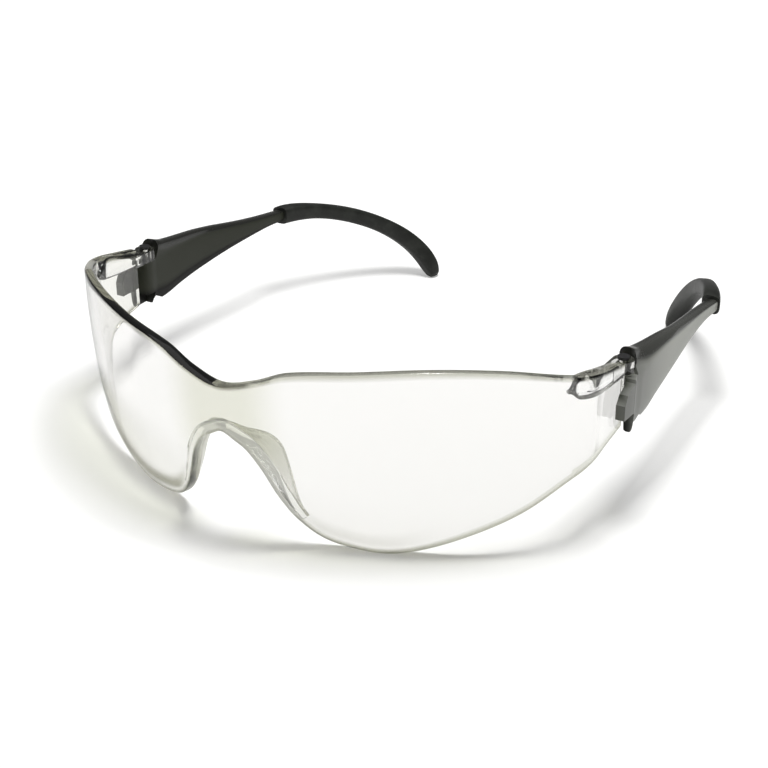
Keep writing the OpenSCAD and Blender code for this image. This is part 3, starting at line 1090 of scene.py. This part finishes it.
@dataclass
class Temple:
    """One folding temple: the rigid arm, its sleeve and its pin."""

    side: str
    lens: Lens
    arm_l: float = 60.0
    arm_rise: float = 2.35
    arm_h: float = 18.2
    arm_in: float = 1.0
    end_z: float = 29.2
    neck_h: float = 3.1
    arm_t: float = 5.2
    blade_t: float = 2.3
    blade_gap: float = 0.6
    blade_reach: float = 8.4
    slot_gap: float = 0.15
    tab_t: float = 2.4
    tab_rise: float = 3.6
    step_h: float = 5.0
    step_y: float = 2.7
    crease: float = 0.58
    crease_cut: float = 1.4
    shoulder: float = 0.8
    roundness: float = 0.55
    # arm_trim and sleeve_fit keep the finer faces inside the CAD model's box
    arm_trim: float = 0.006
    tip_back: float = 105.3
    tip_in: float = 27.8
    tip_lift: float = 0.0787
    sleeve_h: float = 4.9
    sleeve_w: float = 4.6
    sleeve_fit: float = 0.985
    end_pace: float = 0.1
    tang_r: float = 1.2
    tang_l: float = 5.0
    tang_root: float = 2.0
    tang_clear: float = 0.05
    seat_gap: float = 0.05
    seat_trim: float = 0.05
    arm_clear: float = 0.02
    bore_depth: float = 4.7
    tab_back: float = 1.8
    over: float = 20.0
    under: float = -5.0
    arm_finish: Finish = field(default_factory=GlossPlastic)
    sleeve_finish: Finish = field(default_factory=SoftRubber)
    pin_finish: Finish = field(default_factory=PaintedMetal)

    def __post_init__(self) -> None:
        """Works out the hinge, the arm's lines and the sleeve's path."""
        shape = self.lens.shape
        self.shaper = Shaper(self.lens.shift, self.side == "right")
        self.pin_x, self.pin_y = self.lens.pin_x, self.lens.pin_y
        self.seat_z = shape.tongue_z - self.slot_gap
        self.head_z = shape.tongue_top + self.slot_gap
        self.swing_r = self.lens.knuckle_r + 0.4
        self.arm_top = shape.tongue_top + self.arm_rise
        self.arm_low = self.arm_top - self.arm_h
        self.arm_end = np.array([self.pin_x - self.arm_in, self.pin_y + self.arm_l, self.end_z])
        top, low, end = self.arm_top, self.arm_low, self.end_z
        run, neck = self.arm_l, self.neck_h
        self.top_line = Profile(
            ((-10, top), (1, top - 0.1), (7, top - 1.9), (0.37 * run, top - 3.9),
             (0.7 * run, top - 7.2), (run, end + neck / 2))
        )
        self.low_line = Profile(
            ((-10, low - 0.2), (2, low), (8, low + 0.2), (0.25 * run, low + 1.6),
             (0.4 * run, low + 3), (0.62 * run, low + 4.7),
             (0.85 * run, end - neck / 2 + 0.2), (run, end - neck / 2))
        )
        self.thick_line = Profile(
            ((-10, self.blade_t), (-3.4, self.blade_t), (-1.2, self.arm_t), (3, self.arm_t),
             (0.4 * run, 3.8), (run, 3.2))
        )
        out = shape.wing_x + self.blade_gap + self.blade_t / 2 - self.pin_x
        self.tab_x = out + self.blade_t / 2 - self.tab_t
        self.flare_line = Profile(
            ((-10, out), (-3.2, out), (-1.2, 1.3), (3, 1.3), (10, 1.4),
             (0.4 * run, 1.2), (0.8 * run, 0), (run, 0))
        )
        hook, inward, lift = self.tip_back - self.arm_l, self.tip_in, self.tip_lift
        tip = np.array([self.pin_x - inward, self.pin_y + self.tip_back, lift * self.sleeve_h])
        self.path = [
            self.arm_end + (0.2, -1, -0.1),
            self.arm_end + (-0.167 * inward, 0.308 * hook, 0.036 * hook),
            tip + (0.24 * inward, 0.009 * hook, 0.59 * end),
            tip,
        ]
        self.sizes = Profile(
            ((0, 0.9), (0.015, 1), (0.09, 1.02), (0.26, 0.88), (0.5, 0.94),
             (0.78, 1.08), (0.92, 1.04), (0.98, 0.76), (1, 0.42))
        )

    def _middle(self, v: float, z: float) -> float:
        """The X of the arm's middle, which flares outward below the tongue.

        Args:
            v: The distance behind the pin.
            z: The height.

        Returns:
            The X in the drawing.
        """
        down = min(max((self.head_z - z) / (self.head_z - self.seat_z), 0), 1)
        drift = (self.arm_end[0] - self.pin_x) * max(v, 0) / self.arm_l
        span = min(max(v, -self.blade_reach), self.arm_l)
        return self.pin_x + drift + self.flare_line.at(span) * down

    def _arm_ring(self, v: float) -> Ring:
        """The arm's outline, with its crease and shoulder.

        Args:
            v: The distance behind the pin.

        Returns:
            The outline.
        """
        high, low, thick = self.top_line.at(v), self.low_line.at(v), self.thick_line.at(v)
        ring, count = [], 56
        for across, up in around(count, self.roundness, 0.5 - count / 4):
            crease = self.crease_cut * max(-up - self.crease, 0) - 1
            across = max(across, crease, max(up - self.shoulder, 0) - 1)
            z = (high + low) / 2 + (high - low) / 2 * up
            x = self._middle(v, z) + (thick / 2 - self.arm_trim) * across
            ring.append((x, self.pin_y + v, z))
        return ring

    def _rod(self, name: str, clear: float, past: float) -> bpy.types.Object:
        """A round rod from inside the arm's end into the sleeve.

        Args:
            name: The object's name.
            clear: How much wider than the tang it is, by radius.
            past: How much further than the tang it reaches.

        Returns:
            The rod.
        """
        way = self.path[1] - self.path[0]
        way = way / np.linalg.norm(way)
        across = np.cross(way, (0, 0, 1))
        across /= np.linalg.norm(across)
        up = np.cross(across, way)
        radius, rings = self.tang_r + clear, []
        for along in (-self.tang_root, self.tang_l + past):
            centre = self.arm_end + way * along
            ring = [centre + radius * (u * across + v * up) for u, v in around(40)]
            rings.append([tuple(point) for point in ring])
        return self.shaper.skin(name, rings)

    def _box(
        self, name: str, x: Sequence[float], y: Sequence[float], z: Sequence[float]
    ) -> bpy.types.Object:
        """A box between pairs of X, Y and Z."""
        side = [(y[0], z[0]), (y[1], z[0]), (y[1], z[1]), (y[0], z[1])]
        return self.shaper.side_prism(name, side, x[0], x[1])

    def _cuts(self) -> list[bpy.types.Object]:
        """What is cut from the arm's front.

        Returns:
            The tongue's seat, the tab's side, the pin's bore, the blade's sloping top and the steps.
        """
        px, py, seat, over, under = self.pin_x, self.pin_y, self.seat_z, self.over, self.under
        low, reach, swing = self.arm_low, self.blade_reach, self.swing_r
        slope = [
            (-over, seat + 1), (0.5 - swing, seat + 1), (-swing - 0.3, seat - 0.7),
            (-0.62 * reach, seat - 1), (-0.86 * reach, seat - 2), (-0.98 * reach, seat - 4),
            (-reach - 1, seat - 5), (-over, seat - 5),
        ]
        edge, rise = -self.step_y, low + self.step_h
        step = [
            (-over, rise + 0.6), (edge - 0.7, rise), (edge - 0.2, rise - 0.4), (edge, under),
            (-over, under),
        ]
        relief = [(1.6, under), (1.9, low + 1.4), (2.6, low + 2), (6.5, low), (6.5, under)]
        bore, foot = self.lens.pin_r + self.arm_clear, self.lens.shape.tongue_z - self.bore_depth
        left, ahead, roof = px - over, py - over, (seat, seat + over)
        tab_y = (ahead, py + self.tab_back)
        cuts = [
            self.shaper.drum("seat_end", (px, py), swing, *roof),
            self._box("seat", (left, px + over), (ahead, py), roof),
            self._box("seat_inner", (left, px), (ahead, py + swing - self.seat_trim), roof),
            self._box("tab", (left, px + self.tab_x), tab_y, (-over, low + self.tab_rise)),
            self.shaper.drum("bore", (px, py), bore, foot, seat + over),
        ]
        for name, outline in (("slope", slope), ("step", step), ("relief", relief)):
            side = [(py + y, z) for y, z in outline]
            cuts.append(self.shaper.side_prism(name, side, left, px + over))
        return cuts

    def _arm(self) -> bpy.types.Object:
        """Makes the rigid arm and paints its faces.

        Returns:
            The arm.
        """
        stops = list(np.linspace(-self.blade_reach, -3.6, 10)) + list(np.linspace(-3.4, 3, 26))
        stops += list(np.linspace(3.4, self.arm_l, 110))
        arm = self.shaper.skin(f"{self.side}_arm", [self._arm_ring(v) for v in stops])
        Shaper.combine(arm, self._rod("tang", 0.0, 0.0), Cut.JOIN)
        for tool in self._cuts():
            Shaper.combine(arm, tool, Cut.REMOVE)
        Shaper.soften(arm, 0.0, 34.0)
        # outer holds painted sheen and under holds painted shade; inner is the matt panel.
        paint(arm, "inner", self._inner)
        paint(arm, "outer", self._painted_sheen)
        paint(arm, "under", self._painted_low_shade)
        return arm

    def _share(self, point: Vector) -> tuple[float, float, float]:
        """Where a point lies on the arm.

        Args:
            point: The point, in frame metres.

        Returns:
            How far it lies behind the pin, and its shares of the half width and half height.
        """
        v = point.y / MM - self.lens.shift.y - self.pin_y
        span = min(max(v, -self.blade_reach), self.arm_l)
        high, low = self.top_line.at(span), self.low_line.at(span)
        z = point.z / MM
        up = (z - (high + low) / 2) / max((high - low) / 2, 0.1)
        across = (abs(point.x) / MM - self._middle(v, z)) / (self.thick_line.at(span) / 2)
        return v, across, up

    def _inner(self, point: Vector) -> float:
        """Where the arm has its matt inner panel."""
        _, across, up = self._share(point)
        return fade(-0.6, -0.2, across) * fade(0.66, 0.82, abs(up))

    def _painted_low_shade(self, point: Vector) -> float:
        """Painted shade: where the inner side of the arm turns under, along its lower edge."""
        _, across, up = self._share(point)
        return fade(-0.3, 0.1, across) * fade(-0.62, -0.42, up)

    def _painted_sheen(self, point: Vector) -> float:
        """Painted sheen: where the outer face is painted pale, palest towards the back.

        Args:
            point: The point, in frame metres.

        Returns:
            The share, from 0 to 1.
        """
        v, across, up = self._share(point)
        # Painted sheen on the outer face and the blade's front end, and a faint painted highlight on
        # top.
        face = smooth_step(0.35, 0.75, across) * fade(0.6, 0.8, up)
        face = max(face, fade(-self.blade_reach, 1 - self.blade_reach, v))
        face = max(face, 0.07 * smooth_step(-0.2, 0.4, across) * smooth_step(0.6, 0.85, up))
        return face * (0.3 + 0.7 * smooth_step(-6, 26, v))

    def _bezier(self, t: float) -> tuple[np.ndarray, np.ndarray]:
        """The path of the sleeve.

        Args:
            t: The share of its length.

        Returns:
            The point there, and the unit direction.
        """
        a, b, c, d = self.path
        u = 1 - t
        point = u**3 * a + 3 * u * u * t * b + 3 * u * t * t * c + t**3 * d
        way = 3 * u * u * (b - a) + 6 * u * t * (c - b) + 3 * t * t * (d - c)
        return point, way / np.linalg.norm(way)

    def _sleeve_ring(self, t: float) -> Ring:
        """The sleeve's outline.

        Args:
            t: The share of its length.

        Returns:
            The outline.
        """
        centre, way = self._bezier(t)
        ref = np.array([0.94, 0.34, 0])
        across = ref - ref.dot(way) * way
        across /= np.linalg.norm(across)
        up = np.cross(across, way)
        size = self.sleeve_fit * self.sizes.at(t)
        across, up = size * self.sleeve_w / 2 * across, size * self.sleeve_h / 2 * up
        count = 48
        outline = around(count, self.roundness, 0.5 - count / 4)
        return [tuple(centre + u * across + v * up) for u, v in outline]

    def _eased(self, t: float) -> float:
        """A share t of the sleeve's length, eased so that the steps crowd at both ends."""
        early = 2 * (1 - self.end_pace) * t * t + self.end_pace * t
        return early if t <= 0.5 else 1 - self._eased(1 - t)

    def _sleeve(self) -> bpy.types.Object:
        """Makes the soft sleeve with its socket and square front.

        Returns:
            The sleeve.
        """
        steps = 110
        rings = [self._sleeve_ring(self._eased(i / steps)) for i in range(steps + 1)]
        sleeve = self.shaper.skin(f"{self.side}_sleeve", rings)
        Shaper.combine(sleeve, self._rod("socket", self.tang_clear, 0.1), Cut.REMOVE)
        (x, y, z), over = self.arm_end, self.over
        wide, tall = (x - over, x + over), (z - over, z + over)
        front = self._box("front", wide, (y - over, y + self.seat_gap), tall)
        Shaper.combine(sleeve, front, Cut.REMOVE)
        Shaper.soften(sleeve, 0.0, 34.0)
        return sleeve

    def build(self, nodes: dict[str, bpy.types.Object]) -> None:
        """Makes the temple and dresses it.

        Args:
            nodes: The CAD nodes by name.
        """
        body = f"{self.side}_temple"
        for piece, part, slot, finish in (
            (self._arm(), "temple_arm", "arm", self.arm_finish),
            (self._sleeve(), "temple_sleeve", "sleeve", self.sleeve_finish),
        ):
            dress(piece, finish)
            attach(piece, body)
            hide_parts(f"{self.side}_{part}")
            LOG.info("%s: %d faces", piece.name, len(piece.data.polygons))
        pin = nodes[f"{self.side}_hinge_pin"]
        dress(pin, self.pin_finish)
        Shaper.soften(pin, 0.12)
        LOG.info("%s: kept from the CAD", pin.name)


# Studio


@dataclass
class Studio:
    """Table, lamps and camera."""

    table_finish: Finish = field(default_factory=TableTop)
    table_half: float = 3.0
    key_size: float = 0.10
    key_power: float = 1.2
    overhead: Point = (-0.05, 0.1, 0.95)
    overhead_size: float = 1.3
    overhead_power: float = 2.7
    room: float = 0.16
    eye: Point = (0.18294, -0.32058, 0.18188)
    gaze: Point = (-0.46320, 0.77446, -0.43087)
    view_angle: float = math.radians(27.5200507)

    def table(self) -> None:
        """The table under the object."""
        half = self.table_half
        data = bpy.data.meshes.new("table")
        corners = [(-half, -half, 0), (half, -half, 0), (half, half, 0), (-half, half, 0)]
        data.from_pydata(corners, [], [(0, 1, 2, 3)])
        table = bpy.data.objects.new("table", data)
        bpy.context.scene.collection.objects.link(table)
        dress(table, self.table_finish)

    def lamp(self, name: str, place: Point, size: float, power: float) -> None:
        """Adds a square soft light that faces straight down.

        Args:
            name: The lamp's name.
            place: Where it hangs, in metres.
            size: The length of its side.
            power: Its power in watts.
        """
        data = bpy.data.lights.new(name, "AREA")
        data.size = size
        data.energy = power
        lamp = bpy.data.objects.new(name, data)
        lamp.location = place
        bpy.context.scene.collection.objects.link(lamp)

    def surroundings(self) -> None:
        """A pale room, white where it is seen directly."""
        world = bpy.data.worlds.new("room")
        world.use_nodes = True
        bpy.context.scene.world = world
        graph = Graph(world.node_tree)
        light = self.room + (1 - self.room) * graph.ray("Camera")
        shader = graph.node("ShaderNodeBackground", inputs={"Color": light, "Strength": 1.0})
        graph.node("ShaderNodeOutputWorld", inputs={"Surface": shader})

    def camera(self) -> None:
        """The camera that looks at the glasses from above and to their left."""
        data = bpy.data.cameras.new("camera")
        data.sensor_fit = "HORIZONTAL"
        data.angle = self.view_angle
        data.clip_start, data.clip_end = 0.01, 20
        camera = bpy.data.objects.new("camera", data)
        camera.location = self.eye
        camera.rotation_euler = Vector(self.gaze).to_track_quat("-Z", "Y").to_euler()
        bpy.context.scene.collection.objects.link(camera)
        bpy.context.scene.camera = camera

    def build(self) -> None:
        """Sets the stage."""
        bpy.context.scene.view_settings.view_transform = "Standard"
        self.table()
        self.lamp("key", (*KEY_FOOT, KEY_HEIGHT), self.key_size, self.key_power)
        self.lamp("overhead", self.overhead, self.overhead_size, self.overhead_power)
        self.surroundings()
        self.camera()
        LOG.info("studio: table, two soft lamps, room and camera")


def main() -> None:
    """Builds the glasses and the studio."""
    logging.basicConfig(level=logging.INFO, format="%(name)s %(message)s")
    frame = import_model()
    lens = Lens()
    lens.build()
    for side in ("left", "right"):
        Temple(side, lens).build(frame["nodes"])
    Studio().build()


if __name__ == "__main__":
    main()
